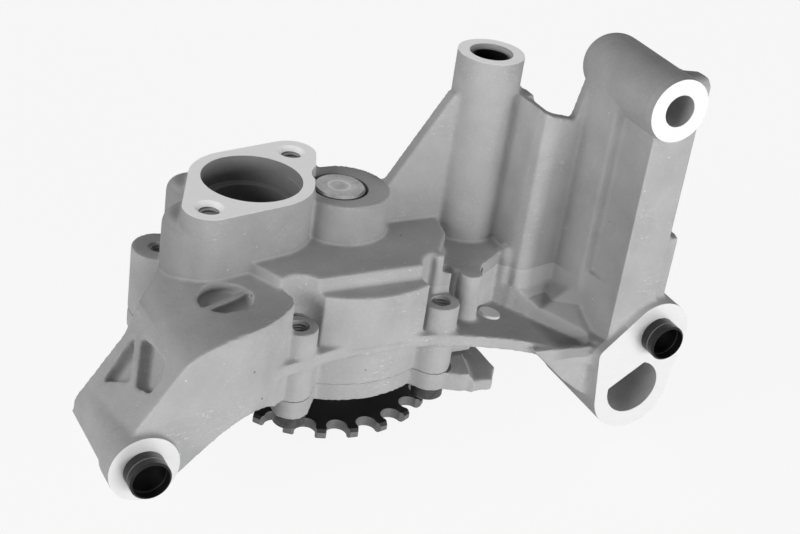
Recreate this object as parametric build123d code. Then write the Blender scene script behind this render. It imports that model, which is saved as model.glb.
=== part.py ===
from build123d import *
from math import atan2, cos, hypot, pi, radians, sin
import os

# Engine oil pump: a rotor pump in an aluminium casting, driven by a chain sprocket.
# The origin is the sprocket's centre. +Z runs up the drive shaft to the suction flange,
# +X points to the outlet pad, and the mounting pads face -Y, towards the crankcase.

# Levels up the shaft axis
joint_z = 15.0
cover_thickness = 5.0
web_top_z = 27.6
web_thickness = 3.4
lug_top_z = 34.2
shelf_z = 39.5
dome_top_z = 41.3
arm_top_z = 42.0
deck_z = 44.8
shaft_boss_top_z = 55.2
flange_z = 58.4
post_top_z = 89.7

# Pump case in plan
case_radius = 29.8
dome_radius = 31.8
dome_half_width = 16.5
deck_front_y = -25.5
case_back_wall = 4.2

# Rotors: the ring has one lobe more than the star inside it
rotor_width = 18.0
ring_radius = 25.0
ring_pins = 7
pin_circle_radius = 23.3
pin_radius = 7.0
eccentricity = 2.5
rotor_end_gap = 0.05
ring_side_gap = 0.06
lobe_gap = 0.05
port_depth = 6.0
port_outer_radius = 19.5
port_inner_radius = 12.5

# Drive shaft and its bushes
shaft_radius = 6.65
shaft_top_z = 55.6
shaft_running_gap = 0.03
bush_wall = 1.5
bush_length = 9.0
boss_radius = 11.9
boss_centre = (1.2, 0.0)
shaft_mouth_gap = 0.75
drive_pin_radius = 2.0
drive_pin_length = 18.0
cover_hub_radius = 11.0
cover_hub_drop = 5.0

# Sprocket, cut for a chain of 8 mm pitch
sprocket_teeth = 22
chain_pitch = 8.0
chain_roller_radius = 2.5
sprocket_thickness = 2.8
sprocket_seat_radius = 5.0
sprocket_seat_flat = 4.2
sprocket_bolt_radius = 3.0
sprocket_bolt_length = 14.0
sprocket_bolt_head_radius = 5.5
sprocket_bolt_head_height = 4.0
washer_radius = 8.5
washer_thickness = 1.6

# Cover bolts, in plan, and the lobes that carry them
bolt_places = [(-21.2, -28.0), (18.8, -26.3), (-40.2, 17.5), (33.0, 12.0), (-20.5, 30.0)]
bolt_radius = 2.5
bolt_clearance = 0.25
bolt_head_radius = 4.1
bolt_head_height = 3.6
bolt_engagement = 14.0
lobe_radius = 4.8
lug_pocket_radius = 6.1
left_lobe_radius = 7.2
cover_dowel_places = [(-28.5, -17.0), (30.5, -8.5)]
cover_dowel_radius = 2.5
cover_dowel_length = 8.0

# Suction flange
suction_place = (-22.9, 3.2)
suction_radius = 12.7
suction_step_radius = 10.2
suction_step_depth = 7.0
suction_floor_z = 37.0
flange_radius = 15.7
flange_hole_offset = (15.9, 12.05)
flange_ear_radius = 6.5
flange_thread_radius = 2.5
flange_thread_depth = 15.0

# Mounting pads, all in one plane that faces the crankcase
pad_y = -43.5
front_wall_y = -41.2
left_pad = (-64.2, 12.0)
left_pad_radius = 8.6
left_pad_back_radius = 6.9
arm_pocket_depth = 3.2
right_sleeve = (76.2, 25.3)
right_pad_radius = 9.4
outlet_centre = (71.9, 8.3)
outlet_pad_radius = 11.5
top_boss = (66.0, 90.4)
top_boss_radius = 8.3
top_boss_back_y = -15.5
top_boss_hole_radius = 4.2
mount_bolt_radius = 4.5
sleeve_radius = 5.0
sleeve_bore_radius = 4.45
sleeve_stand_out = 4.8
sleeve_length = 12.0
sleeve_fit_gap = 0.01
arm_back_y = -14.0
right_block_back_y = -16.0

# Post with a sunk dowel sleeve
post_place = (38.0, -0.6)
post_radius = 8.6
post_mouth_radius = 5.6
post_mouth_depth = 1.2
post_bore_depth = 40.0

# Thin upright walls
wall = 3.6
panel_top_z = 81.0
tower_top_z = 90.0

# Oil gallery from the rotors to the outlet pad
gallery_y = -10.0
gallery_z = 22.5
gallery_radius = 4.5
gallery_wall = 2.5
gallery_end_x = 67.0
riser_x = 29.5
riser_radius = 3.6
riser_top_z = 36.5
gallery_plug_radius = 5.4
gallery_plug_length = 6.0
outlet_depth = 16.0
outlet_arc_radius = 7.8
outlet_flat = 5.0

# Relief valve in the back of the case
relief_place = (1.0, 40.0)
relief_body_radius = 9.5
relief_top_z = 40.0
relief_bore_radius = 6.0
relief_bore_top_z = 34.0
relief_inlet_radius = 3.0
piston_length = 9.5
piston_gap = 0.03
piston_wall = 1.6
piston_cup_depth = 7.0
relief_plug_radius = 7.0
relief_plug_depth = 4.0
relief_plug_head_radius = 8.6
relief_plug_head_height = 4.5
seal_thickness = 1.5
spring_wire_radius = 0.55
spring_turns = 5

thread_cut_gap = 0.05


def cylinder_z(x, y, radius, low, high):
    return Pos(x, y, low) * Cylinder(radius, high - low, align=(Align.CENTER, Align.CENTER, Align.MIN))


def cylinder_y(x, z, radius, front, back):
    stick = Cylinder(radius, back - front, align=(Align.CENTER, Align.CENTER, Align.MIN))
    return Pos(x, front, z) * Rot(-90, 0, 0) * stick


def cylinder_x(y, z, radius, left, right):
    stick = Cylinder(radius, right - left, align=(Align.CENTER, Align.CENTER, Align.MIN))
    return Pos(left, y, z) * Rot(0, 90, 0) * stick


def prism_z(points, low, high):
    outline = make_face(Polyline([(x, y, low) for x, y in points], close=True))
    return extrude(outline, amount=high - low, dir=(0, 0, 1))


def prism_y(points, front, back):
    outline = make_face(Polyline([(x, front, z) for x, z in points], close=True))
    return extrude(outline, amount=back - front, dir=(0, 1, 0))


def hull_z(circles, low, high):
    rims = [Pos(x, y, 0) * Edge.make_circle(radius) for x, y, radius in circles]
    return Pos(0, 0, low) * extrude(make_hull(rims), amount=high - low, dir=(0, 0, 1))


def hull_y(circles, front, back):
    flat = hull_z([(x, -z, radius) for x, z, radius in circles], 0, back - front)
    return Pos(0, front, 0) * Rot(-90, 0, 0) * flat


def ring_place():
    return (0.0, eccentricity)


def ring_pocket_radius():
    return ring_radius + ring_side_gap


def flange_holes():
    x, y = suction_place
    dx, dy = flange_hole_offset
    return [(x - dx, y - dy), (x + dx, y + dy)]


def cover_bottom_z():
    return joint_z - cover_thickness


def pocket_top_z():
    return joint_z + rotor_width + rotor_end_gap


# Body casting, built up from its solid masses and then bored

def case_outline(low, high, radius):
    x, y = ring_place()
    back = ring_pocket_radius() + case_back_wall
    return cylinder_z(0, 0, radius, low, high) + cylinder_z(x, y, back, low, high)


def bolt_lobes(low, high):
    lobes = []
    for x, y in bolt_places:
        radius = left_lobe_radius if x < -35 else lobe_radius
        near = 0.72
        lobes.append(hull_z([(x, y, radius), (x * near, y * near, radius)], low, high))
    return lobes


def dome():
    full = cylinder_z(0, 0, dome_radius, web_top_z - 1.0, dome_top_z)
    limit = Pos(0, deck_front_y, dome_top_z) * Box(2 * dome_half_width, 20, 60)
    return full & limit


def deck():
    points = [(-30.5, -11.0), (-23.5, deck_front_y + 0.4), (14.6, deck_front_y), (17.2, -22.6),
              (20.5, -19.0), (26.5, -11.4), (28.2, -3.4), (31.0, 4.0), (27.5, 17.0), (15.0, 28.0), (-10.0, 30.0), (-24.0, 22.0),
              (-34.0, 12.0)]
    return prism_z(points, joint_z + 6.0, deck_z)


def suction_tower():
    x, y = suction_place
    ears = [(ex, ey, flange_ear_radius) for ex, ey in flange_holes()]
    top = hull_z([(x, y, flange_radius)] + ears, arm_top_z - 8.0, flange_z)
    column = cylinder_z(-38.1, -4.6, 10.0, joint_z, flange_z - 4.0)
    column = fillet(column.edges().sort_by(Axis.Z)[-1], 3.0)
    rear_column = cylinder_z(-35.8, 9.0, 6.6, joint_z, flange_z - 2.0)
    rear_column = fillet(rear_column.edges().sort_by(Axis.Z)[-1], 3.0)
    chamber = cylinder_z(x, y, flange_radius - 1.5, joint_z + 4.0, arm_top_z)
    return [top, column, rear_column, chamber]


def left_boss():
    x, y = bolt_places[2]
    boss = cylinder_z(x, y, left_lobe_radius, joint_z, lug_top_z - 0.6)
    bridge = prism_z([(x, y - 6.5), (-20, -4), (-20, 16), (x + 2, y + 6.5)], joint_z, lug_top_z - 3.0)
    return [boss, bridge]


def left_arm():
    ridge = Spline((-40.0, front_wall_y, arm_top_z), (-49.1, front_wall_y, 40.2), (-54.2, front_wall_y, 37.4),
                   (-58.6, front_wall_y, 31.8), tangents=[(-1, 0, 0), (-0.58, 0, -0.81)])
    under = Spline((-64.2, front_wall_y, 3.6), (-55.5, front_wall_y, 6.6), (-47.6, front_wall_y, 13.6),
                   (-38.7, front_wall_y, 18.2), (-28.0, front_wall_y, 15.6))
    end = Polyline((-58.6, front_wall_y, 31.8), (-71.4, front_wall_y, 13.8), (-72.0, front_wall_y, 10.0),
                   (-64.2, front_wall_y, 3.6))
    inside = Polyline((-28.0, front_wall_y, 15.6), (-16.0, front_wall_y, joint_z), (-16.0, front_wall_y, arm_top_z),
                      (-40.0, front_wall_y, arm_top_z))
    profile = make_face(ridge + end + under + inside)
    slab = extrude(profile, amount=12.0 - front_wall_y, dir=(0, 1, 0))
    front = Spline((-50.0, front_wall_y), (-38.3, -39.4), (-30.6, -35.6), (-25.4, -31.6), (-23.4, -26.5),
                   tangents=[(1, 0), (0, 1)])
    rest = Polyline((-23.4, -26.5), (-26.0, -16.0), (-28.0, -12.0), (-16.0, 0.0), (-30.0, 8.0), (-44.0, 4.0),
                    (-51.0, -7.0), (-60.0, arm_back_y), (-74.0, arm_back_y), (-74.0, front_wall_y),
                    (-50.0, front_wall_y))
    plan = extrude(make_face(front + rest), amount=60.0, dir=(0, 0, 1))
    x, z = left_pad
    depth = arm_back_y - pad_y
    boss = Cone(left_pad_radius, left_pad_back_radius, depth, align=(Align.CENTER, Align.CENTER, Align.MIN))
    return [slab & plan, Pos(x, pad_y, z) * Rot(-90, 0, 0) * boss]


def slope_plane():
    # The arm's slanted face, with local x running down it and local y towards the crankcase
    return Plane(origin=(-58.4, 0, 31.2), x_dir=(-0.5842, 0, -0.8116), z_dir=(-0.8116, 0, 0.5842))


def arm_pockets():
    # Two hollows in the arm's slanted face, with a rib left between them
    outer = [(0.0, 17.6), (13.4, 18.8), (7.2, 27.4)]
    inner = [(-1.2, 20.4), (-2.4, 26.6), (-2.7, 33.6), (0.6, 36.4), (4.6, 36.4), (6.8, 30.6)]
    cuts = []
    for points in (outer, inner):
        face = make_face(Polyline([(x, y) for x, y in points], close=True))
        cuts.append(slope_plane() * Pos(0, 0, -arm_pocket_depth) * extrude(face, amount=12.0))
    return cuts


def core_recess():
    # Round recess in the arm's top, crossed by a bar
    x, y = -38.8, -23.0
    round_cut = cylinder_z(x, y, 6.5, arm_top_z - 2.6, arm_top_z + 1.0)
    bar = Pos(x + 0.3, y - 0.4, arm_top_z - 2.8) * Rot(0, 0, 22.5) * Box(16.0, 1.6, 4.8)
    return round_cut - bar


def web():
    profile = [(-26.0, web_top_z), (16.0, web_top_z), (26.0, 26.8), (36.0, 25.6), (46.5, 23.6),
               (58.5, 20.6), (70.0, 18.0)]
    under = [(x, z - web_thickness) for x, z in reversed(profile)]
    sheet = prism_y(profile + under, -60.0, 6.0)
    front = Spline((-28.0, -34.6), (-21.0, -33.1), (-12.0, -31.0), (0.0, -30.2), (16.0, -31.6), (26.0, -33.5),
                   (36.0, -35.8), (46.5, -38.6), (58.5, front_wall_y), (70.0, front_wall_y))
    sides = Polyline((70.0, front_wall_y), (70.0, 4.0), (-28.0, 4.0), (-28.0, -34.6))
    plan = extrude(make_face(front + sides), amount=60, dir=(0, 0, 1))
    return sheet & plan


def right_block():
    circles = [(*right_sleeve, right_pad_radius), (*outlet_centre, outlet_pad_radius), (61.0, 21.0, 2.2)]
    pad = hull_y(circles, pad_y, right_block_back_y)
    gusset = prism_y([(42.0, 23.5), (62.5, 4.5), (64.0, 22.0)], -40.2, -36.6)
    filler = prism_z([(50.0, -17.0), (60.0, -30.0), (70.0, -30.0), (70.0, -16.0), (62.0, -6.0), (50.0, -6.0)],
                     15.0, gallery_z + 6.0)
    return [pad, gusset, filler]


def ramp():
    # Sloping floor between the web, the stepped wall and the tower's foot
    low_left = (35.0, -23.8, 32.6)
    low_middle = (46.9, -29.9, 29.6)
    low_right = (56.6, -36.0, 25.6)
    low_end = (61.4, front_wall_y, 23.0)
    wall_left = (42.0, -22.0, 36.2)
    wall_middle = (49.4, -25.5, 34.6)
    valley_top = (57.2, -27.0, 33.9)
    valley_low = (57.4, -34.0, 30.2)
    ridge_foot = (61.0, -28.0, 38.6)
    tower_foot = (64.0, front_wall_y, 39.0)
    shallow = [(low_left, low_middle, wall_left), (low_middle, wall_middle, wall_left),
               (low_middle, low_right, wall_middle), (low_right, valley_low, wall_middle),
               (valley_low, valley_top, wall_middle)]
    steep = [(valley_top, valley_low, ridge_foot), (valley_low, tower_foot, ridge_foot),
             (valley_low, low_end, tower_foot), (valley_low, low_right, low_end)]
    masses = []
    for triangles, drop in ((shallow, 9.0), (steep, 15.5)):
        for corners in triangles:
            face = make_face(Polyline(list(corners), close=True))
            masses.append(extrude(face, amount=drop, dir=(0, 0, -1)))
    return masses


def gallery_duct():
    outside = gallery_radius + gallery_wall
    duct = cylinder_x(gallery_y, gallery_z, outside, 18.0, gallery_end_x)
    shelf = prism_z([(20.6, -19.4), (21.4, -22.4), (24.6, -23.0), (25.0, -24.2), (31.6, -24.2), (32.6, -20.0),
                     (42.0, -18.0), (42.0, 4.0), (17.5, 4.0)], joint_z + 1.0, shelf_z)
    return [duct, shelf]


def post():
    x, y = post_place
    tall = cylinder_z(x, y, post_radius, shelf_z - 2.0, post_top_z)
    foot = cylinder_z(x, y, post_radius - 0.8, web_top_z - 2.0, shelf_z)
    return [tall, foot]


def left_panel():
    # Slanted rib between the shaft boss and the post
    x, y = post_place
    outline = [(8.0, deck_z - 2.0), (8.0, 50.0), (12.0, 54.0), (28.0, 79.0), (33.0, 82.5), (x, 82.5),
               (x, shelf_z - 1.0), (26.0, shelf_z - 1.0)]
    return prism_y(outline, y - wall / 2, y + wall / 2)


def stepped_wall():
    # Upright wall that steps forward from the post to the tower, in plan
    front = [(41.0, -3.0), (43.6, -8.0), (43.8, -16.0), (42.4, -22.0), (43.6, -25.4), (49.2, -27.0),
             (58.8, -28.5), (60.2, -29.2)]
    back = [(x + 1.0, y + wall) for x, y in reversed(front)]
    back[-1] = (44.0, 2.0)
    back[-2] = (47.4, -6.0)
    back[-3] = (47.4, -15.0)
    back[-4] = (46.4, -20.6)
    back[-5] = (47.0, -22.2)
    low_wall = prism_z(front + back, web_top_z - 3.0, panel_top_z)
    high = [(49.2, -27.0), (58.8, -28.5), (62.0, -29.2), (62.0, -24.5), (49.6, -23.2)]
    raised = prism_z(high, panel_top_z - 1.0, 100.0)
    under_cylinder = prism_y([(49.2, 70.0), (49.2, 93.6), (62.0, 83.0), (62.0, 70.0)], -40.0, -10.0)
    return [low_wall, raised & under_cylinder]


def tower():
    # U-shaped column under the top boss, open at its back
    left, right = 60.3, 76.0
    low = right_sleeve[1]
    front = prism_z([(left, front_wall_y), (right - 1.2, front_wall_y), (right - 1.2, front_wall_y + wall + 0.6),
                     (left, front_wall_y + wall + 0.6)], low, top_boss[1] - 2.0)
    left_wall = prism_z([(left, front_wall_y), (left + wall, front_wall_y), (left + wall, -24.0),
                         (left, -24.0)], low, top_boss[1] - 3.0)
    side = [(right - wall, front_wall_y + 0.4), (right, front_wall_y + 1.4), (right + 2.2, -24.0),
            (right - wall + 2.2, -24.0)]
    right_wall = prism_z(side, low, tower_top_z + 2.0)
    thick = prism_z([(right - 4.0, front_wall_y), (right + 2.8, front_wall_y + 1.6), (right + 4.6, -26.0),
                     (right - 2.0, -26.0)], low - 4.0, 52.0)
    brace = prism_y([(left, 58.0), (right + 1.0, 58.0), (right + 1.0, 62.0), (left, 62.0)], -38.0, -25.0)
    return [front, left_wall, right_wall, thick, brace]


def top_boss_solid():
    x, z = top_boss
    bar = cylinder_y(x, z, top_boss_radius, pad_y, top_boss_back_y)
    end = Pos(x, top_boss_back_y, z) * Sphere(top_boss_radius)
    return [bar, end]


def relief_housing():
    x, y = relief_place
    outside = cylinder_z(x, y, relief_body_radius, joint_z, relief_top_z)
    neck = prism_z([(x - 9.0, 20.0), (x + 12.0, 20.0), (x + 8.0, y), (x - 8.0, y)], joint_z, relief_top_z - 0.5)
    return [outside, neck]


def kidney_port(side):
    depth = port_depth
    low = pocket_top_z() - 0.5
    ring = cylinder_z(0, 0, port_outer_radius, low, low + depth)
    ring -= cylinder_z(0, 0, port_inner_radius, low - 1.0, low + depth + 1.0)
    half = Pos(side * 20.0, 1.0, low + depth / 2) * Box(34.0, 30.0, depth + 4.0)
    return ring & half


def body_bores():
    cuts = []
    x, y = ring_place()
    cuts.append(cylinder_z(x, y, ring_pocket_radius(), joint_z - 5.0, pocket_top_z()))
    cuts.append(kidney_port(-1))
    cuts.append(kidney_port(1))
    bush_outside = shaft_radius + shaft_running_gap + bush_wall
    cuts.append(cylinder_z(0, 0, bush_outside, joint_z, shaft_boss_top_z + 5.0))
    sx, sy = suction_place
    cuts.append(cylinder_z(sx, sy, suction_radius, flange_z - suction_step_depth, flange_z + 5.0))
    cuts.append(cylinder_z(sx, sy, suction_step_radius, suction_floor_z, flange_z))
    cuts.append(Pos(-18.0, 2.0, 37.5) * Box(8.0, 12.0, 5.0))
    for hx, hy in flange_holes():
        cuts.append(cylinder_z(hx, hy, flange_thread_radius, flange_z - flange_thread_depth, flange_z + 5.0))
    for bx, by in bolt_places:
        cuts.append(cylinder_z(bx, by, bolt_radius + thread_cut_gap, joint_z - 5.0, lug_top_z + 0.5))
    for dx, dy in cover_dowel_places:
        cuts.append(cylinder_z(dx, dy, cover_dowel_radius, joint_z - 5.0, joint_z + cover_dowel_length / 2 + 0.3))
    return cuts


def outlet_pocket():
    # D-shaped mouth whose flat side looks up and to the left
    x, z = outlet_centre
    z += 1.2
    disc = cylinder_y(x, z, outlet_arc_radius, pad_y - 1.0, pad_y + outlet_depth)
    corner = Pos(x, pad_y, z) * Rot(0, -34, 0) * Pos(0, 0, outlet_flat + 10.0) * Box(40.0, 80.0, 20.0)
    # Slanted drilling from the mouth up to the gallery
    start = Vector(x - 1.0, pad_y + outlet_depth - 2.5, z)
    end = Vector(57.0, gallery_y, gallery_z)
    drill = Plane(origin=start, z_dir=end - start) * Cylinder(
        3.5, (end - start).length, align=(Align.CENTER, Align.CENTER, Align.MIN))
    return [disc - corner, drill]


def mount_bores():
    cuts = []
    for x, z in (left_pad, right_sleeve):
        cuts.append(cylinder_y(x, z, mount_bolt_radius, pad_y - 5.0, 20.0))
        cuts.append(cylinder_y(x, z, sleeve_radius + sleeve_fit_gap, pad_y - 5.0, sleeve_back_y()))
    x, z = top_boss
    cuts.append(cylinder_y(x, z, top_boss_hole_radius, pad_y - 5.0, 5.0))
    px, py = post_place
    cuts.append(cylinder_z(px, py, post_mouth_radius, post_top_z - post_mouth_depth, post_top_z + 5.0))
    cuts.append(cylinder_z(px, py, sleeve_radius + sleeve_fit_gap, post_sleeve_low_z(), post_top_z + 5.0))
    cuts.append(cylinder_z(px, py, sleeve_bore_radius, post_top_z - post_bore_depth, post_top_z))
    return cuts


def sleeve_back_y():
    return pad_y - sleeve_stand_out + sleeve_length


def post_sleeve_low_z():
    return post_top_z - post_mouth_depth - sleeve_length


def oil_passages():
    along = cylinder_x(gallery_y, gallery_z, gallery_radius, riser_x - 2.0, gallery_end_x + 2.0)
    plug_seat = cylinder_x(gallery_y, gallery_z, gallery_plug_radius, gallery_end_x - gallery_plug_length,
                           gallery_end_x + 2.0)
    up = cylinder_z(riser_x, gallery_y, riser_radius, gallery_z, riser_top_z)
    across = Pos(riser_x - 7.0, gallery_y + 1.0, riser_top_z - 1.0) * Rot(0, 0, -14) * Box(17.0, 6.0, 4.0)
    rx, ry = relief_place
    bore = cylinder_z(rx, ry, relief_bore_radius, joint_z - 5.0, relief_bore_top_z)
    plug_thread = cylinder_z(rx, ry, relief_plug_radius, joint_z - 5.0, joint_z + relief_plug_depth)
    inlet = cylinder_z(rx, ry, relief_inlet_radius, relief_bore_top_z - 1.0, relief_bore_top_z + 2.8)
    feed = Pos(7.0, 26.5, relief_bore_top_z + 1.6) * Rot(0, 0, 24) * Box(3.0, 36.0, 2.4)
    drain = cylinder_y(rx, relief_bore_top_z - 2.8, 1.6, ry, ry + relief_body_radius + 5.0)
    return [along, plug_seat, up, across, bore, plug_thread, inlet, feed, drain]


def pump_body():
    body = case_outline(joint_z, web_top_z, case_radius).fuse(dome(), deck())
    for x, y in bolt_places[:2]:
        body -= cylinder_z(x, y, lug_pocket_radius, lug_top_z - 8.0, deck_z + 5.0)
    masses = bolt_lobes(joint_z, web_top_z) + [web()]
    for x, y in bolt_places[:2]:
        masses.append(cylinder_z(x, y, lobe_radius, web_top_z - 2.0, lug_top_z))
    for x, y in bolt_places[3:]:
        masses.append(cylinder_z(x, y, lobe_radius, web_top_z - 2.0, web_top_z + 3.0))
    masses.append(cylinder_z(*boss_centre, boss_radius, deck_z - 4.0, shaft_boss_top_z))
    masses += suction_tower() + left_boss() + left_arm() + right_block() + ramp() + gallery_duct()
    masses += post() + [left_panel()] + stepped_wall() + tower() + top_boss_solid() + relief_housing()
    body = body.fuse(*masses)
    cuts = body_bores() + outlet_pocket() + mount_bores() + oil_passages() + arm_pockets() + [core_recess()]
    cuts.append(cylinder_z(0, 0, shaft_radius + shaft_mouth_gap, shaft_boss_top_z - 4.0, 70.0))
    return body.cut(*cuts)


# Cover plate with its hub, tab and bolt lobes

def pump_cover():
    low = cover_bottom_z()
    plate = case_outline(low, joint_z, case_radius - 0.6)
    tab = prism_z([(22.0, -22.0), (24.6, -31.8), (27.6, -34.6), (33.0, -33.2), (36.6, -29.6), (36.8, -19.6),
                   (28.0, -4.0)], low, low + 3.2)
    tab_rib = prism_z([(30.0, -16.0), (27.0, -33.6), (29.0, -34.2), (32.0, -16.0)], low, joint_z - 0.6)
    hub = cylinder_z(0, 0, cover_hub_radius, low - cover_hub_drop, joint_z)
    plate = plate.fuse(*bolt_lobes(low, joint_z), tab, tab_rib, hub)
    cuts = [cylinder_z(0, 0, shaft_radius + shaft_running_gap + bush_wall, 0.0, joint_z + 5.0)]
    for x, y in bolt_places:
        cuts.append(cylinder_z(x, y, bolt_radius + bolt_clearance, 0.0, joint_z + 5.0))
    for x, y in cover_dowel_places:
        cuts.append(cylinder_z(x, y, cover_dowel_radius, joint_z - cover_dowel_length / 2 - 0.3, joint_z + 5.0))
    rx, ry = relief_place
    cuts.append(cylinder_z(rx, ry, relief_plug_head_radius + 1.0, 0.0, joint_z + 5.0))
    return plate.cut(*cuts)


# Rotors

def star_profile_points(count):
    # Path of the star's flank as the ring's round lobes roll past it
    points = []
    for i in range(count):
        t = 2 * pi * i / count
        turns = (1 - ring_pins) * t
        psi = atan2(sin(turns), pin_circle_radius / (eccentricity * ring_pins) - cos(turns))
        reach = pin_radius + lobe_gap
        x = pin_circle_radius * cos(t) - reach * cos(t + psi) - eccentricity * cos(ring_pins * t)
        y = -pin_circle_radius * sin(t) + reach * sin(t + psi) + eccentricity * sin(ring_pins * t)
        points.append((x, y))
    return points


def star_turn():
    # The ring's centre lies on +Y of the shaft, so the star's low side faces -Y
    return -90.0


def inner_rotor():
    per_lobe = 24
    points = star_profile_points((ring_pins - 1) * per_lobe)
    outline = make_face(Spline(points, periodic=True))
    star = extrude(outline, amount=rotor_width, dir=(0, 0, 1))
    star = Pos(0, 0, joint_z) * Rot(0, 0, star_turn()) * star
    star -= cylinder_z(0, 0, shaft_radius + 0.02, joint_z - 1.0, joint_z + rotor_width + 1.0)
    slot = Pos(0, 0, joint_z) * Box(drive_pin_length + 0.4, 2 * drive_pin_radius + 0.1, 2 * drive_pin_z_rise())
    return star - slot


def drive_pin_z_rise():
    return 2 * drive_pin_radius + 0.3


def outer_rotor():
    x, y = ring_place()
    cavity_radius = pin_circle_radius - pin_radius + 2 * eccentricity + 0.15
    ring = cylinder_z(0, 0, ring_radius, 0, rotor_width)
    cavity = cylinder_z(0, 0, cavity_radius, -1, rotor_width + 1)
    for i in range(ring_pins):
        angle = radians(star_turn()) + 2 * pi * i / ring_pins
        px = pin_circle_radius * cos(angle)
        py = pin_circle_radius * sin(angle)
        cavity -= cylinder_z(px, py, pin_radius, -2, rotor_width + 2)
    return Pos(x, y, joint_z) * (ring - cavity)


# Shaft line

def drive_shaft():
    top = cylinder_z(0, 0, shaft_radius, sprocket_thickness / 2, shaft_top_z)
    seat = cylinder_z(0, 0, sprocket_seat_radius, -sprocket_thickness / 2 + 0.2, sprocket_thickness / 2)
    flats = Box(2 * sprocket_seat_flat, 40, 2 * sprocket_thickness)
    shaft = top + (seat & flats)
    tap = cylinder_z(0, 0, sprocket_bolt_radius, -5.0, sprocket_bolt_length + 1.0)
    cross = Pos(-20.0, 0, drive_pin_z()) * Rot(0, 90, 0) * Cylinder(
        drive_pin_radius, 40.0, align=(Align.CENTER, Align.CENTER, Align.MIN))
    shaft = shaft - tap - cross
    rim = shaft.edges().filter_by(GeomType.CIRCLE).sort_by(Axis.Z)[-1]
    return chamfer(rim, 0.5)


def drive_pin_z():
    return joint_z + drive_pin_radius + 0.15


def rotor_drive_pin():
    stick = Cylinder(drive_pin_radius - 0.005, drive_pin_length)
    return Pos(0, 0, drive_pin_z()) * Rot(0, 90, 0) * stick


def bush(low, high):
    outside = shaft_radius + shaft_running_gap + bush_wall
    return cylinder_z(0, 0, outside, low, high) - cylinder_z(
        0, 0, shaft_radius + shaft_running_gap, low - 1.0, high + 1.0)


def sprocket():
    pitch_radius = chain_pitch / 2 / sin(pi / sprocket_teeth)
    tip_radius = pitch_radius + 0.28 * chain_pitch
    thick = sprocket_thickness
    disc = cylinder_z(0, 0, tip_radius, -thick / 2, thick / 2)
    disc = chamfer(disc.edges().filter_by(GeomType.CIRCLE), 0.7)
    gaps = []
    for i in range(sprocket_teeth):
        angle = 2 * pi * (i + 0.5) / sprocket_teeth + radians(-144.8)
        px = pitch_radius * cos(angle)
        py = pitch_radius * sin(angle)
        roller = cylinder_z(px, py, chain_roller_radius + 0.25, -thick, thick)
        flare = 0.4 * chain_pitch
        half = chain_roller_radius - 0.2
        wide = 0.48 * chain_pitch
        wedge = Pos(0, 0, -thick) * extrude(make_face(Polyline(
            (0, -half), (flare, -wide), (flare, wide), (0, half), close=True)), amount=2 * thick)
        gaps.append(roller)
        gaps.append(Pos(px, py, 0) * Rot(0, 0, angle * 180 / pi) * wedge)
    disc = disc.cut(*gaps)
    hole = cylinder_z(0, 0, sprocket_seat_radius + 0.03, -5, 5) & Box(2 * sprocket_seat_flat + 0.06, 40, 20)
    return disc - hole


def sprocket_washer():
    low = -sprocket_thickness / 2 - washer_thickness
    ring = cylinder_z(0, 0, washer_radius, low, -sprocket_thickness / 2)
    return ring - cylinder_z(0, 0, sprocket_bolt_radius + 0.2, low - 1.0, 1.0)


def hex_prism(across, low, high):
    points = [(across * cos(pi * i / 3), across * sin(pi * i / 3)) for i in range(6)]
    return prism_z(points, low, high)


def sprocket_bolt():
    seat = -sprocket_thickness / 2 - washer_thickness
    head = cylinder_z(0, 0, sprocket_bolt_head_radius, seat - sprocket_bolt_head_height, seat)
    head = chamfer(head.edges().sort_by(Axis.Z)[0], 0.6)
    head -= hex_prism(3.0, seat - sprocket_bolt_head_height - 1.0, seat - 1.6)
    stem = cylinder_z(0, 0, sprocket_bolt_radius - thread_cut_gap, seat, seat + sprocket_bolt_length)
    return head + stem


# Fasteners and sleeves

def cover_bolts():
    solids = []
    seat = cover_bottom_z()
    for x, y in bolt_places:
        head = cylinder_z(0, 0, bolt_head_radius, seat - bolt_head_height, seat)
        head = chamfer(head.edges().sort_by(Axis.Z)[0], 0.5)
        head -= hex_prism(2.3, seat - bolt_head_height - 1.0, seat - 1.4)
        stem = cylinder_z(0, 0, bolt_radius, seat, joint_z + bolt_engagement)
        solids.append(Pos(x, y, 0) * (head + stem))
    return Compound(children=solids)


def cover_dowels():
    solids = []
    for x, y in cover_dowel_places:
        low = joint_z - cover_dowel_length / 2
        outside = cylinder_z(x, y, cover_dowel_radius - 0.01, low, low + cover_dowel_length)
        solids.append(outside - cylinder_z(x, y, cover_dowel_radius - 1.0, low - 1.0, low + cover_dowel_length + 1.0))
    return Compound(children=solids)


def mount_sleeve(x, z):
    front = pad_y - sleeve_stand_out
    tube = cylinder_y(x, z, sleeve_radius, front, front + sleeve_length)
    rim = tube.edges().filter_by(GeomType.CIRCLE).sort_by(Axis.Y)[0]
    tube = chamfer(rim, 0.35)
    return tube - cylinder_y(x, z, sleeve_bore_radius, front - 1.0, front + sleeve_length + 1.0)


def post_sleeve():
    x, y = post_place
    low = post_sleeve_low_z()
    tube = cylinder_z(x, y, sleeve_radius, low, low + sleeve_length)
    tube = chamfer(tube.edges().filter_by(GeomType.CIRCLE).sort_by(Axis.Z)[-1], 0.35)
    return tube - cylinder_z(x, y, sleeve_bore_radius, low - 1.0, low + sleeve_length + 1.0)


def gallery_plug():
    left = gallery_end_x - gallery_plug_length
    plug = cylinder_x(gallery_y, gallery_z, gallery_plug_radius, left, gallery_end_x - 0.4)
    socket = Pos(gallery_end_x - 4.0, gallery_y, gallery_z) * Rot(0, 90, 0) * hex_prism(3.4, 0, 8.0)
    return plug - socket


# Relief valve

def relief_seat_z():
    return relief_bore_top_z


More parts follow.
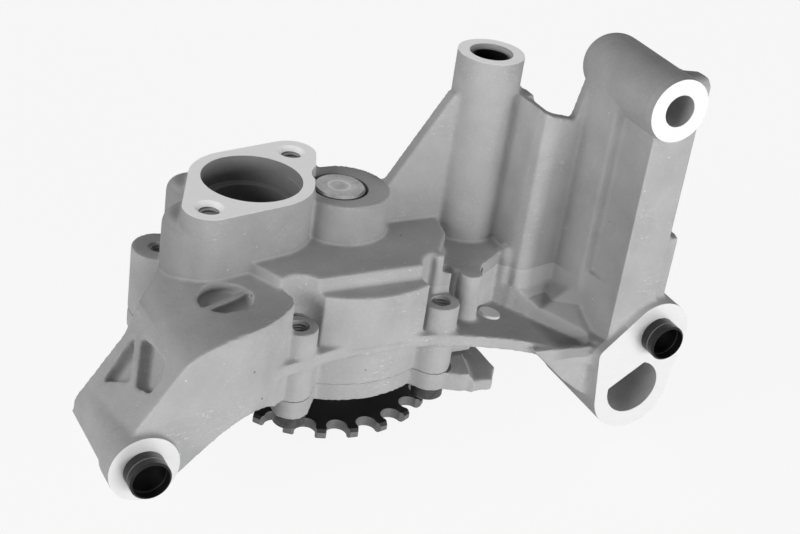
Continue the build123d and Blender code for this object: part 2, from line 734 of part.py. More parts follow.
def relief_piston():
    x, y = relief_place
    low = relief_seat_z() - piston_length
    radius = relief_bore_radius - piston_gap
    cup = cylinder_z(x, y, radius, low, relief_seat_z())
    cup = chamfer(cup.edges().filter_by(GeomType.CIRCLE).sort_by(Axis.Z)[-1], 0.6)
    return cup - cylinder_z(x, y, radius - piston_wall, low - 1.0, low + piston_cup_depth)


def relief_plug_tip_z():
    return joint_z + relief_plug_depth


def relief_plug():
    x, y = relief_place
    under = joint_z - seal_thickness
    thread = cylinder_z(x, y, relief_plug_radius - thread_cut_gap, under, relief_plug_tip_z())
    head = Pos(x, y, 0) * hex_prism(relief_plug_head_radius, under - relief_plug_head_height, under)
    return thread + head


def relief_seal():
    x, y = relief_place
    low = joint_z - seal_thickness
    return cylinder_z(x, y, relief_plug_head_radius - 0.6, low, joint_z) - cylinder_z(
        x, y, relief_plug_radius, low - 1.0, joint_z + 1.0)


def relief_spring():
    x, y = relief_place
    wire = spring_wire_radius
    low = relief_plug_tip_z() + wire
    high = relief_seat_z() - piston_length + piston_cup_depth - wire
    radius = relief_bore_radius - piston_gap - piston_wall - wire - 0.35
    rise = high - low
    path = Helix(pitch=rise / spring_turns, height=rise, radius=radius)
    section = Plane(origin=path @ 0, z_dir=path % 0) * Circle(wire)
    return Pos(x, y, low) * sweep(section, path=path)


os.makedirs("parts", exist_ok=True)
nodes = {
    "pump_body": pump_body(),
    "pump_cover": pump_cover(),
    "inner_rotor": inner_rotor(),
    "outer_rotor": outer_rotor(),
    "drive_shaft": drive_shaft(),
    "rotor_drive_pin": rotor_drive_pin(),
    "body_shaft_bush": bush(shaft_boss_top_z - 4.0 - bush_length, shaft_boss_top_z - 4.0),
    "cover_shaft_bush": bush(cover_bottom_z() - cover_hub_drop, joint_z),
    "drive_sprocket": sprocket(),
    "sprocket_washer": sprocket_washer(),
    "sprocket_bolt": sprocket_bolt(),
    "cover_bolts": cover_bolts(),
    "cover_dowels": cover_dowels(),
    "left_mount_sleeve": mount_sleeve(*left_pad),
    "right_mount_sleeve": mount_sleeve(*right_sleeve),
    "post_dowel_sleeve": post_sleeve(),
    "gallery_plug": gallery_plug(),
    "relief_piston": relief_piston(),
    "relief_spring": relief_spring(),
    "relief_plug": relief_plug(),
    "relief_plug_seal": relief_seal(),
}
for name, shape in nodes.items():
    export_step(shape, f"parts/{name}.step")
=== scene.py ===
from math import cos, pi, radians, sin

import bmesh
import bpy
import numpy as np
from bpy.props import FloatProperty, FloatVectorProperty, IntProperty, PointerProperty
from mathutils import Matrix, Vector


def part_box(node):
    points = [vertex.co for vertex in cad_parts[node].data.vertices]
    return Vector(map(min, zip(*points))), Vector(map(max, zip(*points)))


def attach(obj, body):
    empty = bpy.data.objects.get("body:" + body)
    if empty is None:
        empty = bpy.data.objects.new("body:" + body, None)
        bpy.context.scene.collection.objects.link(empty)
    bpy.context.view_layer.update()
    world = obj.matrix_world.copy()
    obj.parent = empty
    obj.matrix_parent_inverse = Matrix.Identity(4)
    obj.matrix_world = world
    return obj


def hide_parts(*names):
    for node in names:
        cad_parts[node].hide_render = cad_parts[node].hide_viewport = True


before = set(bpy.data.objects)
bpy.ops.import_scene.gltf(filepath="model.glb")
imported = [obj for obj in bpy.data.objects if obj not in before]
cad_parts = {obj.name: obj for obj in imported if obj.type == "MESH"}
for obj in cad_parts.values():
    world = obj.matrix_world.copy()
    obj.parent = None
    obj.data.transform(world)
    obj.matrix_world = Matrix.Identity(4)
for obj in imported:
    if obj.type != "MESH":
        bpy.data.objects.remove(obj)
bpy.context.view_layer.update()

bl_info = {
    "name": "Engine oil pump",
    "version": (1, 0, 0),
    "blender": (4, 5, 0),
    "location": "View3D > Sidebar > Oil pump",
    "description": "Dresses the oil pump's frame with its cast skin, threads and finishes",
    "category": "Object",
}

mm = 0.001

# Machined faces and hole axes of the frame's solids, in millimetres.
# Upright holes are given by x and y, the ones that lie along Y by x and z.
pad_front = -43.5
joint_level = 15.0
case_top = 33.05
lug_top = 34.2
boss_top = 55.2
flange_top = 58.4
post_top = 89.7
suction = (-22.9, 3.2)
flange_screws = ((-38.8, -8.85), (-7.0, 15.25))
lug_screws = ((-21.2, -28.0), (18.8, -26.3))
boss_screw = (-40.2, 17.5)
post = (38.0, -0.6)
left_sleeve = (-64.2, 12.0)
right_sleeve = (76.2, 25.3)
outlet = (71.9, 9.5)
pad_end = (71.9, 8.3)
tower_hole = (66.0, 90.4)

# How deep the bores go and their radii, in millimetres
suction_floor = 37.0
post_seat = 76.5
sleeve_seat = -36.3
suction_radius = 12.7
screw_radius = 2.5
lug_radius = 2.55
sleeve_radius = 5.02


# Sizes and colours that a user would change

class CastingSizes(bpy.types.PropertyGroup):
    grid: FloatProperty(
        name="Grid", description="Size of the cells that the casting's skin is rebuilt from",
        default=0.5 * mm, min=0.3 * mm, unit="LENGTH", precision=5)
    rounding: IntProperty(
        name="Rounding", description="How many times the cast edges are smoothed", default=5, min=0)
    proud: FloatProperty(
        name="Milling allowance", description="How far a face stands proud before it is milled",
        default=0.7 * mm, unit="LENGTH", precision=5)
    triangles: IntProperty(
        name="Triangles", description="Most triangles that a casting's skin may have",
        default=186000, min=1000)


class CastingColours(bpy.types.PropertyGroup):
    cast: FloatVectorProperty(
        name="Cast skin", description="Colour of the as-cast aluminium", subtype="COLOR",
        default=(0.45, 0.45, 0.455))
    machined: FloatVectorProperty(
        name="Machined face", description="Colour of the milled aluminium", subtype="COLOR",
        default=(0.88, 0.88, 0.885))
    # The rubbed edges in this colour are partly real wear and partly a painted highlight along the
    # cast edges.
    wear_and_highlight: FloatVectorProperty(
        name="Worn edge", description="Colour of rubbed edges and scratches", subtype="COLOR",
        default=(0.68, 0.68, 0.68))
    # Besides real pores and the joint, this colour also paints shade inside the suction bore,
    # behind the deck, in the hollow beside the tower and on the web.
    stain_and_shade: FloatVectorProperty(
        name="Stain", description="Colour of pores, the joint and the deep places", subtype="COLOR",
        default=(0.12, 0.12, 0.12))


class ThreadSizes(bpy.types.PropertyGroup):
    flange_pitch: FloatProperty(
        name="Flange pitch", description="Pitch of the two threads in the suction flange",
        default=1.0 * mm, unit="LENGTH", precision=5)
    lug_pitch: FloatProperty(
        name="Lug pitch", description="Pitch of the threads in the lugs and the left boss",
        default=0.8 * mm, unit="LENGTH", precision=5)
    height: FloatProperty(
        name="Ridge height", description="How far a thread stands into its hole",
        default=0.42 * mm, unit="LENGTH", precision=5)


class StageSizes(bpy.types.PropertyGroup):
    floor_level: FloatProperty(
        name="Floor level", description="Height of the floor under the pump",
        default=-7.3 * mm, unit="LENGTH", precision=5)
    floor_width: FloatProperty(
        name="Floor width", description="Length of each side of the floor", default=6.0,
        unit="LENGTH")
    surround: FloatProperty(
        name="Surround", description="Strength of the light that comes from all round",
        default=0.1, min=0.0)
    front_power: FloatProperty(
        name="Front lamp", description="Power of the lamp in front of the pump, in watts",
        default=13.0, min=0.0)
    left_power: FloatProperty(
        name="Left lamp", description="Power of the lamp on the pump's left, in watts",
        default=8.0, min=0.0)


# Node networks, written as expressions

class Flow:
    """A socket that can be used in arithmetic: each step adds a Math node."""

    def __init__(self, finish, socket):
        self.finish = finish
        self.socket = socket

    def step(self, operation, *values, **settings):
        made = self.finish.node(
            "ShaderNodeMath", {"operation": operation, **settings}, dict(enumerate(values)))
        return Flow(self.finish, made.outputs[0])

    def __add__(self, other):
        return self.step("ADD", self, other)

    __radd__ = __add__

    def __sub__(self, other):
        return self.step("SUBTRACT", self, other)

    def __rsub__(self, other):
        return self.step("SUBTRACT", other, self)

    def __mul__(self, other):
        return self.step("MULTIPLY", self, other)

    __rmul__ = __mul__

    def __gt__(self, other):
        return self.step("GREATER_THAN", self, other)

    def __lt__(self, other):
        return self.step("LESS_THAN", self, other)

    def clamped(self):
        return self.step("MULTIPLY", self, 1.0, use_clamp=True)

    def size(self):
        return self.step("ABSOLUTE", self)

    def root(self):
        return self.step("SQRT", self)

    def sine(self):
        return self.step("SINE", self)

    def rise(self, low, high):
        """0 below low, 1 above high, and a straight slope between them."""
        made = self.finish.node(
            "ShaderNodeMapRange", {"clamp": True},
            {"Value": self, "From Min": low, "From Max": high, "To Min": 0.0, "To Max": 1.0})
        return Flow(self.finish, made.outputs[0])

    def band(self, middle, half):
        """1 within half of middle, 0 elsewhere."""
        return (self - middle).size() < half

    def at_face(self, level):
        """1 on a machined face at that level, 0 elsewhere."""
        return (self > level - 0.05) * (self < level + 0.1)


class Finish:
    """One procedural material, built node by node on Object coordinates in millimetres."""

    def __init__(self, name):
        self.material = bpy.data.materials.new(name)
        self.material.use_nodes = True
        self.tree = self.material.node_tree
        self.tree.nodes.clear()
        self.output = self.node("ShaderNodeOutputMaterial")
        self.shader = self.node("ShaderNodeBsdfPrincipled")
        self.tree.links.new(self.shader.outputs[0], self.output.inputs[0])
        coordinates = self.node("ShaderNodeTexCoord")
        scaled = self.node("ShaderNodeVectorMath", {"operation": "SCALE"},
                           {0: coordinates.outputs["Object"], "Scale": 1.0 / mm})
        self.place = scaled.outputs[0]
        apart = self.node("ShaderNodeSeparateXYZ", {}, {0: self.place})
        self.x, self.y, self.z = (Flow(self, apart.outputs[i]) for i in range(3))

    def node(self, kind, settings=None, values=None):
        """A new node with its settings. Its inputs are joined to sockets or get plain values."""
        made = self.tree.nodes.new(kind)
        for key, value in (settings or {}).items():
            setattr(made, key, value)
        for key, value in (values or {}).items():
            if isinstance(value, Flow):
                self.tree.links.new(value.socket, made.inputs[key])
            elif isinstance(value, bpy.types.NodeSocket):
                self.tree.links.new(value, made.inputs[key])
            else:
                made.inputs[key].default_value = value
        return made

    def noise(self, size, detail=3.0, roughness=0.55, stretch=(1.0, 1.0, 1.0)):
        """Noise whose blotches are about size millimetres across."""
        mapped = self.node("ShaderNodeMapping", {}, {"Vector": self.place, "Scale": stretch})
        made = self.node("ShaderNodeTexNoise", {},
                         {"Vector": mapped.outputs[0], "Scale": 1.0 / size, "Detail": detail,
                          "Roughness": roughness})
        return Flow(self, made.outputs[0])

    def cells(self, size):
        """Distance from the nearest scattered point. The points are about size mm apart, and the
        distance is counted in that size."""
        made = self.node("ShaderNodeTexVoronoi", {}, {"Vector": self.place, "Scale": 1.0 / size})
        return Flow(self, made.outputs["Distance"])

    def edges(self):
        """Above 0.5 on outer edges and below it in corners."""
        made = self.node("ShaderNodeNewGeometry")
        return Flow(self, made.outputs["Pointiness"])

    def facing_up(self):
        """The normal's Z: 1 where the surface looks up."""
        made = self.node("ShaderNodeNewGeometry")
        apart = self.node("ShaderNodeSeparateXYZ", {}, {0: made.outputs["Normal"]})
        return Flow(self, apart.outputs[2])

    def radius(self, a, b, centre_a=0.0, centre_b=0.0):
        """Distance from an axis that goes through the centre."""
        across = a - centre_a
        along = b - centre_b
        return (across * across + along * along).root()

    def blend(self, mask, first, second):
        """first where mask is 0 and second where it is 1."""
        first, second = ((*colour, 1.0) if isinstance(colour, tuple) else colour
                         for colour in (first, second))
        made = self.node("ShaderNodeMix", {"data_type": "RGBA"},
                         {"Factor": mask, 6: first, 7: second})
        return made.outputs[2]

    def set(self, **values):
        """Sets or joins the shader's inputs, each named in lower case with underscores."""
        for name, value in values.items():
            socket = self.shader.inputs[name.replace("_", " ").title().replace("Ior", "IOR")]
            if isinstance(value, Flow):
                self.tree.links.new(value.socket, socket)
            elif isinstance(value, bpy.types.NodeSocket):
                self.tree.links.new(value, socket)
            elif isinstance(value, tuple):
                socket.default_value = (*value, 1.0)
            else:
                socket.default_value = value

    def bump(self, height, distance):
        """height is 0 to 1, distance is what 1 stands for in millimetres."""
        made = self.node("ShaderNodeBump", {},
                         {"Height": height, "Distance": distance * mm, "Strength": 1.0})
        self.tree.links.new(made.outputs[0], self.shader.inputs["Normal"])


def tint(colour, share):
    """The colour, lighter or darker by share."""
    return tuple(max(0.0, channel * share) for channel in colour)


def machined_mask(finish):
    """Where the casting is milled: the pads and the tower's boss in front, the flange with its
    screws' countersinks, and the post's top."""
    x, y, z = finish.x, finish.y, finish.z
    pads = y < pad_front + 0.05
    flange = z.at_face(flange_top) * (x < 2.0)
    post_face = z.at_face(post_top) * (x < 50.0)
    first, second = (finish.radius(x, y, *screw) < 3.7 for screw in flange_screws)
    mouths = (first + second) * (z > 57.2)
    return (pads + flange + post_face + mouths).clamped()


def joint_line(finish):
    """The thin gap between the body and its cover, round the case and its lobes."""
    x, y, z = finish.x, finish.y, finish.z
    lobes = [(*lug_screws[0], 5.4), (*lug_screws[1], 5.4), (-38.1, -4.6, 10.6), (*boss_screw, 8.0),
             (-35.8, 9.0, 7.2), (1.0, 40.0, 10.2), (33.0, 12.0, 5.4), (-20.5, 30.0, 5.4)]
    near = finish.radius(x, y) < 33.5
    for across, along, reach in lobes:
        near = near + (finish.radius(x, y, across, along) < reach)
    return near.clamped() * z.band(joint_level, 0.13)


def marks_of_use(finish):
    """Scratches, light flecks and dust on the cast skin."""
    scratch = (finish.noise(2.2, 2.0, 0.5, (0.25, 2.6, 1.3)).band(0.5, 0.0035)
               * finish.noise(13.0, 1.0).rise(0.52, 0.58))
    flecks = (finish.cells(4.2) < 0.06) * finish.noise(2.0, 2.0).rise(0.5, 0.56)
    dust = (finish.cells(1.2) < 0.13) * finish.noise(7.0, 3.0).rise(0.54, 0.6)
    return ((scratch + flecks + dust * 0.6) * 0.75).clamped()


def painted_shade(finish):
    """Painted shade: darker skin low behind the deck on faces that don't look up, in the hollow
    beside the tower, and on the web where it looks up.
    """
    x, y, z = finish.x, finish.y, finish.z
    upward = finish.facing_up().rise(0.5, 0.8)
    behind_deck = y.rise(-26.0, -14.0) * (1.0 - z.rise(40.0, 84.0)) * (z > 36.0) * (1.0 - upward)
    hollow = (x.rise(46.0, 50.0) * (x < 65.6) * (y > -41.0) * (z > 20.0)
              * (1.0 - z.rise(60.0, 86.0) * 0.7))
    web = (z > 20.0) * (z < 29.0) * (x > 22.0) * (x < 66.0) * upward
    return (behind_deck.clamped() * 0.42 + hollow.clamped() * 0.3 + web * 0.3).clamped()


def cast_aluminium(colours):
    """Sand-cast skin, with bright milled faces where machined_mask says."""
    finish = Finish("cast_aluminium")
    x, y, z = finish.x, finish.y, finish.z
    cast, wear_and_highlight_colour, stain_and_shade = colours.cast, colours.wear_and_highlight, tuple(colours.stain_and_shade)
    blotch = finish.noise(9.0, 3.0)
    grain = finish.noise(0.55, 4.0, 0.7)
    sand = finish.noise(1.6, 3.0, 0.6)
    edges = finish.edges()
    # Rubbed edges and painted highlight: a lighter colour along the outer edges of the cast skin.
    wear_and_highlight = edges.rise(0.53, 0.6) * finish.noise(3.0, 4.0, 0.7).rise(0.3, 0.6)
    corner = 1.0 - edges.rise(0.4, 0.455)
    pores = finish.cells(11.0) < 0.03
    # Painted shade: the inside of the suction bore is darkened towards the stain colour.
    in_bore = ((finish.radius(x, y, *suction) < suction_radius + 0.2) * (z > suction_floor)
               * (z < flange_top - 0.05))
    turned = z.band(boss_top, 0.06) * (finish.radius(x, y) < 13.5)
    ejector = finish.radius(x, y, 36.3, -22.9).rise(3.1, 2.9) * (z > 25.0) * (z < 27.5)
    layers = [
        (grain.rise(0.25, 0.8) * 0.35, tint(cast, 1.4)),
        (wear_and_highlight * 0.5, tuple(wear_and_highlight_colour)),
        (corner * 0.4, tint(wear_and_highlight_colour, 1.1)),
        (marks_of_use(finish), tint(wear_and_highlight_colour, 1.15)),
        (in_bore * 0.45, stain_and_shade),
        ((pores * 0.8 + joint_line(finish) * 0.9).clamped(), stain_and_shade),
        (turned * 0.6, tuple(wear_and_highlight_colour)),
        # painted shade behind the deck, in the hollow beside the tower and on the web
        (painted_shade(finish), tint(stain_and_shade, 0.6)),
        (ejector, tint(wear_and_highlight_colour, 1.1))]
    base = finish.blend(blotch.rise(0.3, 0.7), tint(cast, 0.9), tint(cast, 1.1))
    for mask, colour in layers:
        base = finish.blend(mask, base, colour)
    machined = machined_mask(finish)
    milling = finish.noise(0.9, 2.0, 0.5, (0.15, 1.0, 1.0))
    bright = finish.blend(milling * 0.3, tuple(colours.machined), tint(colours.machined, 0.86))
    finish.set(base_color=finish.blend(machined, base, bright), metallic=machined * 0.5,
               roughness=0.72 + grain * 0.14 - machined * 0.4, specular_ior_level=0.3)
    finish.bump((grain * 0.5 + sand) * (1.0 - machined * 0.94), 0.1)
    return finish.material


def plain_metal(name, colour, roughness, metallic=0.9, grain_size=0.5, grain_depth=0.01,
                spread=0.2):
    """Metal with a fine grain, cloudy stains and rubbed edges."""
    finish = Finish(name)
    cloud = finish.noise(4.0, 3.0)
    grain = finish.noise(grain_size, 3.0, 0.65)
    rubbed = finish.edges().rise(0.52, 0.58) * finish.noise(1.4, 3.0).rise(0.35, 0.7)
    base = finish.blend(cloud.rise(0.3, 0.7), tint(colour, 1.0 - spread),
                        tint(colour, 1.0 + spread))
    rubbed_colour = tuple(min(1.0, channel * 1.6 + 0.06) for channel in colour)
    base = finish.blend(rubbed * 0.5, base, rubbed_colour)
    finish.set(base_color=base, metallic=metallic, roughness=roughness + (grain - 0.5) * 0.25)
    finish.bump(grain, grain_depth)
    return finish


def sleeve_steel():
    """Blackened steel with a lighter ring round the two long sleeves."""
    finish = plain_metal("sleeve_steel", (0.012, 0.012, 0.013), 0.33, 0.0, 0.4, 0.006)
    left, right = (finish.radius(finish.x, finish.z, *axis) < 5.3
                   for axis in (left_sleeve, right_sleeve))
    rim = (left + right).clamped() * finish.y.band(-46.0, 0.16)
    finish.set(base_color=finish.blend(rim, (0.010, 0.010, 0.011), (0.16, 0.16, 0.16)),
               specular_ior_level=0.25)
    return finish.material


def sprocket_steel():
    """Dark steel whose teeth are rubbed lighter on their sides."""
    finish = plain_metal("sprocket_steel", (0.018, 0.018, 0.019), 0.5, 0.5, 0.7, 0.02)
    side = 1.0 - finish.facing_up().size().rise(0.4, 0.75)
    outer = finish.radius(finish.x, finish.y).rise(23.0, 24.5)
    dark = finish.blend(finish.noise(3.0, 3.0), (0.014, 0.014, 0.015), (0.026, 0.026, 0.027))
    edge = finish.blend(finish.noise(1.2, 3.0), (0.13, 0.13, 0.13), (0.23, 0.23, 0.23))
    finish.set(base_color=finish.blend(side * outer, dark, edge), roughness=0.5)
    return finish.material


def turned_steel():
    """Ground shaft steel whose end disc shows the lathe's rings and a light ring of wear."""
    finish = plain_metal("turned_steel", (0.42, 0.42, 0.42), 0.3, 0.9, 0.35, 0.004, 0.12)
    away = finish.radius(finish.x, finish.y)
    rings = (away * 5.2).sine()
    cloud = finish.noise(3.2, 3.0, 0.6)
    light = (away + cloud * 1.6).band(3.6, 0.35) * 0.5
    top = finish.z > 54.9
    base = finish.blend(cloud.rise(0.3, 0.7), (0.24, 0.24, 0.24), (0.42, 0.42, 0.42))
    base = finish.blend(light * top, base, (0.6, 0.6, 0.6))
    finish.set(base_color=base, metallic=0.7, roughness=0.38)
    finish.bump(rings * 0.5 + cloud, 0.02)
    return finish.material


# Skin of the castings

def settled_mesh(piece):
    """Applies the piece's modifiers to its mesh."""
    depsgraph = bpy.context.evaluated_depsgraph_get()
    mesh = bpy.data.meshes.new_from_object(piece.evaluated_get(depsgraph))
    old = piece.data
    piece.modifiers.clear()
    piece.data = mesh
    bpy.data.meshes.remove(old)


def points_of(piece):
    """The places of the mesh's points, one row each."""
    places = np.empty(len(piece.data.vertices) * 3)
    piece.data.vertices.foreach_get("co", places)
    return places.reshape(-1, 3)


def write_points(piece, places):
    piece.data.vertices.foreach_set("co", places.ravel())
    piece.data.update()


def normals_of(piece):
    normals = np.empty(len(piece.data.vertices) * 3)
    piece.data.vertex_normals.foreach_get("vector", normals)
    return normals.reshape(-1, 3)


def seat_on_flats(places, normals, flats, reach):
    """Puts points that are near a flat face and look its way exactly on it, and says which they
    are. Each flat is an axis, the face's level on it and the low and high corner of its region."""
    held = np.zeros(len(places), bool)
    for axis, level, low, high in flats:
        near = (abs(places[:, axis] - level) < reach) & (abs(normals[:, axis]) > 0.8)
        near &= np.all((places > np.array(low)) & (places < np.array(high)), axis=1)
        places[near, axis] = level
        held |= near
    return held


# Solids that are put on a casting or cut from it. Their sizes are in millimetres.

def solid(work):
    """A scratch object of the bmesh's faces, with its normals outward."""
    bmesh.ops.recalc_face_normals(work, faces=work.faces)
    mesh = bpy.data.meshes.new("shape")
    work.to_mesh(mesh)
    work.free()
    piece = bpy.data.objects.new("shape", mesh)
    bpy.context.scene.collection.objects.link(piece)
    return piece


def drawn_out(corners, shift):
    """An outline of three or more corners, drawn out by shift."""
    work = bmesh.new()
    face = work.faces.new([work.verts.new(Vector(corner) * mm) for corner in corners])
    drawn = bmesh.ops.extrude_face_region(work, geom=[face])["geom"]
    far_corners = [item for item in drawn if isinstance(item, bmesh.types.BMVert)]
    bmesh.ops.translate(work, verts=far_corners, vec=Vector(shift) * mm)
    return solid(work)


def prism(axis, outline, low, high):
    """An outline in the plane across an axis, drawn out along it from low to high."""
    corners = [[*pair] for pair in outline]
    for corner in corners:
        corner.insert(axis, low)
    shift = [0.0, 0.0, 0.0]
    shift[axis] = high - low
    return drawn_out(corners, shift)


def rod(start, direction, length, radius, far_radius=None):
    """A round bar or cone from a point, along a direction."""
    work = bmesh.new()
    way = Vector(direction).normalized()
    middle = (Vector(start) + way * (length / 2)) * mm
    bmesh.ops.create_cone(
        work, cap_ends=True, segments=96, radius1=radius * mm,
        radius2=(radius if far_radius is None else far_radius) * mm, depth=length * mm,
        matrix=Matrix.Translation(middle) @ way.to_track_quat("Z", "Y").to_matrix().to_4x4())
    return solid(work)


def upright(x, y, radius, low, high, far_radius=None):
    """A round bar along Z. With far_radius it is a cone that ends in that radius."""
    return rod((x, y, low), (0, 0, 1), high - low, radius, far_radius)


def lying(x, z, radius, front, back):
    """A round bar along Y."""
    return rod((x, front, z), (0, 1, 0), back - front, radius)


def combine(piece, others, operation):
    """Cuts the others from the piece, joins them to it or keeps what they share with it."""
    for other in others:
        step = piece.modifiers.new("combine", "BOOLEAN")
        step.operation = operation
        step.solver = "MANIFOLD"
        step.object = other
    settled_mesh(piece)
    for other in others:
        mesh = other.data
        bpy.data.objects.remove(other)
        bpy.data.meshes.remove(mesh)
    return piece


def together(pieces):
    return combine(pieces[0], pieces[1:], "UNION")


def meeting(first, second):
    return combine(first, [second], "INTERSECT")


def hull(shapes):
    """The smallest form without hollows that holds all the shapes."""
    work = bmesh.new()
    for shape in shapes:
        mesh = shape.data
        work.from_mesh(mesh)
        bpy.data.objects.remove(shape)
        bpy.data.meshes.remove(mesh)
    made = bmesh.ops.convex_hull(work, input=work.verts[:])
    kept = {item for item in made["geom"] if isinstance(item, bmesh.types.BMFace)}
    bmesh.ops.delete(work, geom=[face for face in work.faces if face not in kept], context="FACES")
    bmesh.ops.delete(work, geom=[vert for vert in work.verts if not vert.link_faces],
                     context="VERTS")
    return solid(work)


def put_in(piece, others):
    """Adds the others' faces to the piece's mesh. The skin that is made next joins them."""
    work = bmesh.new()
    work.from_mesh(piece.data)
    for other in others:
        work.from_mesh(other.data)
        mesh = other.data
        bpy.data.objects.remove(other)
        bpy.data.meshes.remove(mesh)
    work.to_mesh(piece.data)
    work.free()


def old_forms():
    """What stands over the web's right side in the frame and is shaped anew here."""
    over_web = [(20.0, 27.65), (26.0, 26.85), (36.0, 25.65), (46.5, 23.65), (57.8, 20.85),
                (59.2, 23.3), (61.9, 24.2), (61.9, 82.9), (60.0, 84.3), (58.6, 86.1), (57.5, 89.0),
                (57.3, 101.0), (20.0, 101.0)]
    in_plan = [(20.7, -19.2), (21.9, -21.4), (24.1, -23.6), (24.3, -44.0), (61.9, -44.0),
               (61.9, -16.4), (47.6, -16.4), (47.6, -12.0), (26.9, -12.0)]
    above_wall = [(43.1, 81.4), (46.4, 80.0), (48.5, 79.4), (48.5, 84.0), (43.1, 84.0)]
    region = meeting(prism(1, over_web, -45.0, -11.0), prism(2, in_plan, 15.0, 105.0))
    return [region, prism(1, above_wall, -20.0, -9.5)]


def stepped_wall():
    """The wall between the post and the tower, with its step and its sharp ridge."""
    in_plan = [(41.0, -3.0), (43.4, -8.0), (43.6, -17.0), (44.6, -20.0), (47.0, -20.6),
               (56.8, -18.6), (59.0, -28.4), (62.2, -29.2), (63.0, -26.8), (60.4, -15.2),
               (47.4, -16.8), (47.0, -6.0), (44.0, 2.0)]
    from_front = [(38.0, 24.6), (38.0, 82.6), (43.1, 81.4), (46.4, 80.0), (54.6, 77.6),
                  (57.6, 90.4), (64.0, 86.0), (64.0, 24.6)]
    return meeting(prism(2, in_plan, 20.0, 100.0), prism(1, from_front, -40.0, 5.0))


def ledge_and_slope():
    """The sloping floor between the web, the stepped wall and the tower's foot."""
    edge_middle, edge_right = (49.7, -26.3, 27.0), (58.7, -35.5, 24.0)
    edge_end = (61.8, -40.5, 21.0)
    foot_left, foot_middle = (44.4, -19.8, 31.4), (57.6, -17.6, 30.7)
    valley_top, valley_low = (58.4, -26.0, 32.2), (60.0, -31.5, 27.2)
    ridge_top, tower_foot = (60.2, -29.4, 38.6), (62.4, -41.2, 39.2)
    behind_ridge = (62.0, -20.0, 38.6)
    ledge = [(edge_middle, foot_middle, foot_left), (edge_middle, valley_top, foot_middle),
             (edge_middle, edge_right, valley_top), (edge_right, valley_low, valley_top)]
    slope = [(valley_top, valley_low, ridge_top), (valley_low, edge_right, edge_end),
             (valley_low, edge_end, tower_foot), (ridge_top, valley_low, tower_foot)]
    beside_shelf = [(40.7, -15.6), (44.3, -20.0), (47.0, -16.0), (44.0, -12.0)]
    under_ridge = [(60.2, -29.0), (61.9, -38.5), (62.2, -41.2), (64.0, -41.2), (64.0, -28.0)]
    under_wall = [(46.0, -20.0), (57.0, -18.4), (60.6, -28.0), (61.0, -14.0), (46.0, -14.0)]
    behind_shelf = [(36.0, -9.4), (44.4, -14.0), (45.4, -8.0), (42.0, -3.0), (36.0, -3.0)]
    shapes = [drawn_out(corners, (0, 0, -6.5)) for corners in ledge]
    shapes += [drawn_out(corners, (0, 0, -15.0)) for corners in slope]
    return shapes + [
        prism(2, beside_shelf, 23.6, 30.6), prism(2, under_ridge, 24.0, 38.6),
        upright(43.4, -15.6, 2.3, 25.6, 41.0, 1.9), prism(2, under_wall, 23.0, 28.9),
        drawn_out([valley_top, ridge_top, behind_ridge, foot_middle], (0, 0, -8.0)),
        prism(2, behind_shelf, 24.5, 39.5)]


def new_forms():
    """The forms beside the post, the tower's front and crest, and the web's left end."""
    shelf = [(26.6, -11.5), (20.6, -18.0), (23.6, -17.8), (24.9, -21.4), (27.4, -22.8),
             (31.6, -22.8), (33.0, -20.7), (39.4, -16.9), (44.2, -13.3), (44.2, -11.5)]
    tower_front = [(61.9, -41.2), (65.5, -41.2), (65.5, -24.0), (61.9, -24.0)]
    crest = [(-41.0, 88.0), (-41.0, 95.0), (-40.2, 96.4), (-38.7, 97.0), (-35.7, 96.8),
             (-30.1, 94.8), (-23.1, 93.5), (-20.0, 90.0)]
    web_end = [(-31.0, -20.0), (-30.4, -35.4), (-26.0, -33.9), (-21.0, -33.1), (-21.0, -20.0)]
    gusset = [(40.0, 24.0), (51.1, 13.2), (56.2, 9.2), (62.5, 5.0), (64.0, 22.0)]
    return [
        prism(2, shelf, 24.5, 39.5), upright(28.4, -23.4, 3.0, 25.0, 39.5),
        upright(19.4, -21.2, 1.3, 33.2, 44.8), stepped_wall(), *ledge_and_slope(),
        prism(2, tower_front, 30.0, 87.4), prism(0, crest, 66.0, 76.0),
        prism(2, web_end, 24.2, 27.6), prism(1, gusset, -40.2, -38.2)]


def milling_stock(proud):
    """Metal that stands proud of the machined faces and fills the bores until they are cut."""
    front = pad_front - proud
    top = flange_top + proud
    left_screw, right_screw = flange_screws
    flange = [upright(*suction, 15.7, 55.0, top), upright(*left_screw, 6.5, 55.0, top),
              upright(*right_screw, 6.5, 55.0, top)]
    pad = [lying(*right_sleeve, 9.4, front, -41.0), lying(*pad_end, 11.5, front, -41.0),
           lying(61.0, 21.0, 2.2, front, -41.0)]
    return [
        hull(flange), hull(pad),
        upright(*suction, 15.7, 50.0, top), upright(*suction, 13.6, suction_floor, top),
        upright(*left_screw, 6.5, 43.0, top), upright(*right_screw, 6.5, 43.0, top),
        upright(*post, 8.6, post_seat, post_top + proud),
        lying(*left_sleeve, 8.6, front, sleeve_seat),
        lying(*right_sleeve, 9.4, front, sleeve_seat),
        lying(*pad_end, 11.5, front, -28.0),
        lying(*tower_hole, 8.3, front, -16.0), lying(*tower_hole, 5.2, -17.0, -9.2),
        *[upright(*screw, 3.6, 15.6, lug_top) for screw in lug_screws],
        upright(0.0, 0.0, 9.4, 51.2, boss_top)]


def outlet_mouth():
    """D-shaped mouth whose flat side looks up and to the left."""
    x, z = outlet
    disc = lying(x, z, 7.8, -46.0, -27.5)
    work = bmesh.new()
    work.from_mesh(disc.data)
    tilt = radians(34)
    from_axis = 5.0
    side = Vector((-sin(tilt), 0.0, cos(tilt)))
    cut = bmesh.ops.bisect_plane(
        work, geom=work.verts[:] + work.edges[:] + work.faces[:],
        plane_co=Vector((x * mm, 0.0, z * mm)) + side * from_axis * mm, plane_no=side,
        clear_outer=True)
    edges = [item for item in cut["geom_cut"] if isinstance(item, bmesh.types.BMEdge)]
    bmesh.ops.holes_fill(work, edges=edges)
    work.to_mesh(disc.data)
    work.free()
    return disc


